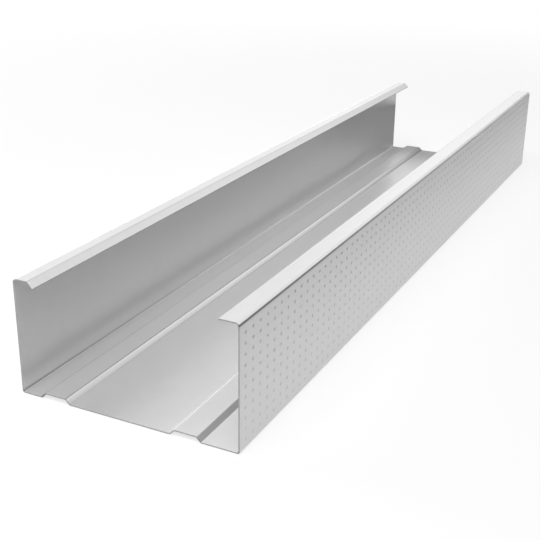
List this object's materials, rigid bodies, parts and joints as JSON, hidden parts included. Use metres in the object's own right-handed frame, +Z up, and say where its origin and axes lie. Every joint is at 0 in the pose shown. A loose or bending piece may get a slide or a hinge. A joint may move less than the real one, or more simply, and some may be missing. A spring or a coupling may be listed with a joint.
{
  "type": "steel stud",
  "caption": "C-section wall stud rolled from thin galvanized steel sheet, with a ribbed web, one wide and one narrow flange and inturned lips.",
  "frame": {"origin": "centre of the bottom of the bounding box: under the middle of the web, halfway along the stud", "axes": "+X across the web towards the wide flange, +Y along the stud, +Z up from the web's back to the lips"},
  "size_m": [0.0938, 0.408, 0.0498],
  "materials": {
    "galvanized_steel": "galvanized, satin"
  },
  "bodies": {
    "root": {"steel_stud": "galvanized_steel"}
  },
  "joints": []
}
